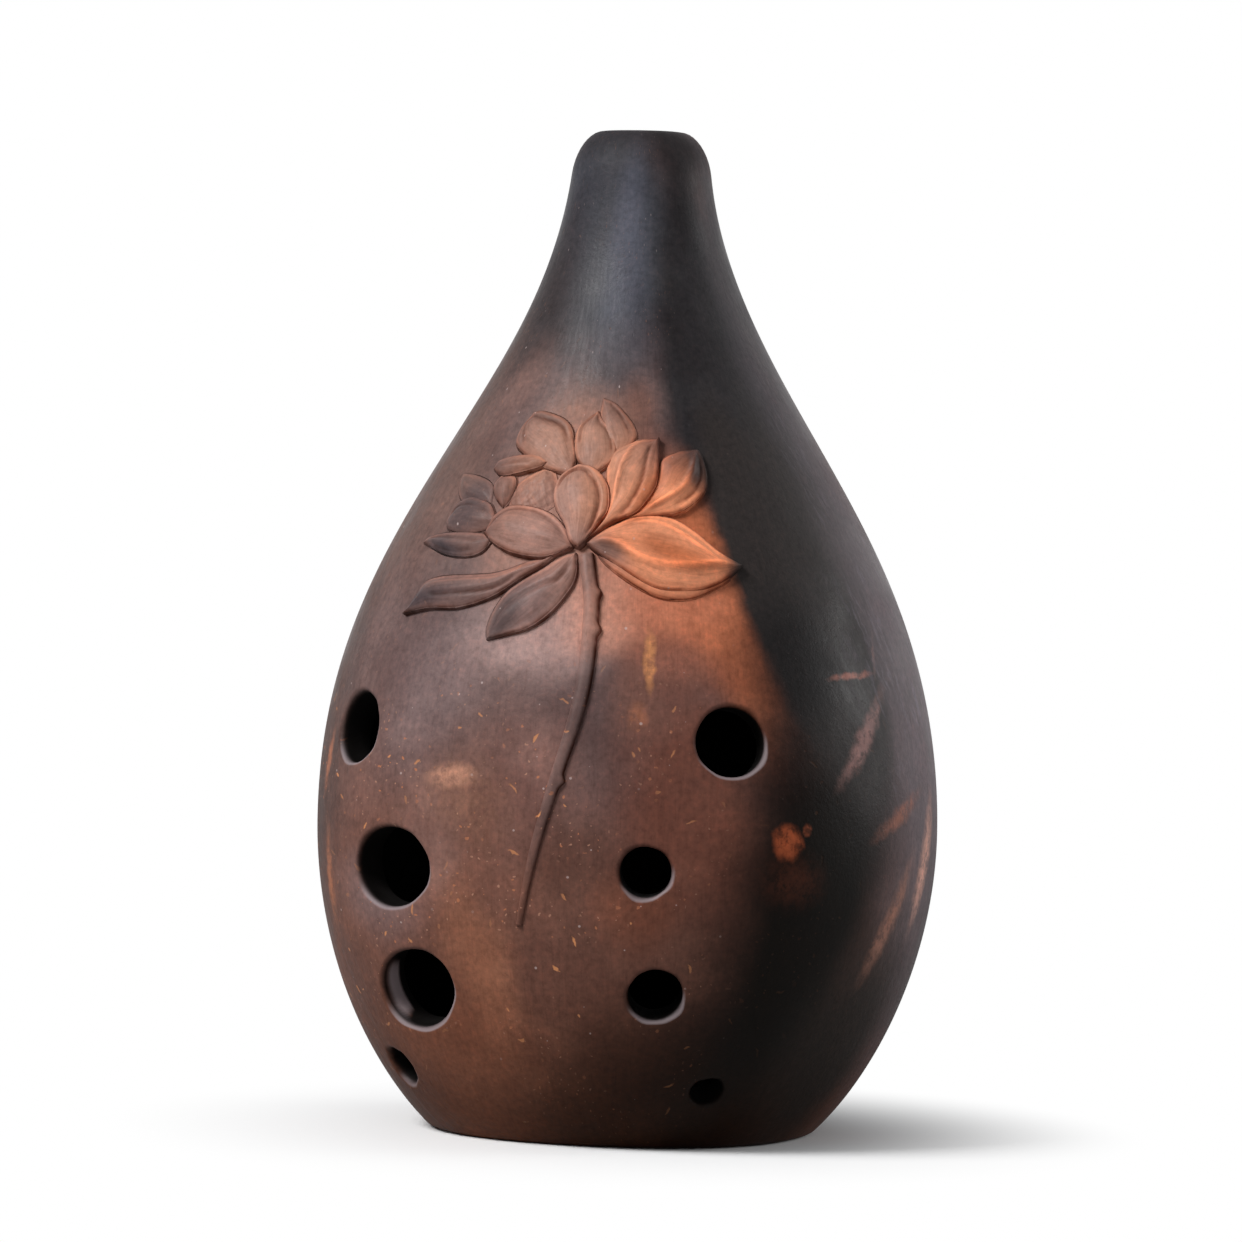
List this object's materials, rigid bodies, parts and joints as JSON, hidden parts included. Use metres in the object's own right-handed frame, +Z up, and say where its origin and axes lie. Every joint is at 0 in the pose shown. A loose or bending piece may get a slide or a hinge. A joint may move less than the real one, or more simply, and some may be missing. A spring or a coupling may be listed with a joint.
{
  "type": "xun",
  "caption": "Pear-shaped clay vessel flute with a mouth hole at the neck, finger and thumb holes, and a lotus in relief on the front.",
  "frame": {"origin": "middle of the flat base", "axes": "+Z up through the mouth hole, -Y towards the finger holes and the lotus, +X to their right"},
  "size_m": [0.0926, 0.087, 0.15],
  "materials": {
    "smoked_clay": "burnished, smoke fired",
    "brown_clay": "satin",
    "orange_clay": "satin"
  },
  "bodies": {
    "root": {"front_shell": "smoked_clay", "back_shell": "smoked_clay", "seam_slip": "smoked_clay", "petal_centre": "brown_clay", "petal_left_cup": "brown_clay", "petal_upper_right": "orange_clay", "petal_curled": "brown_clay", "petal_lower_right": "orange_clay", "petal_lower_left_long": "brown_clay", "petal_right": "orange_clay", "petal_tongue": "brown_clay", "seed_pod": "brown_clay", "petal_top": "brown_clay", "petal_lower_left": "brown_clay", "petal_left_lower": "brown_clay", "petal_top_left": "brown_clay", "petal_top_back": "brown_clay", "petal_left_upper": "brown_clay", "petal_lower_right_back": "orange_clay", "petal_left_back": "brown_clay", "stem": "brown_clay"}
  },
  "joints": []
}
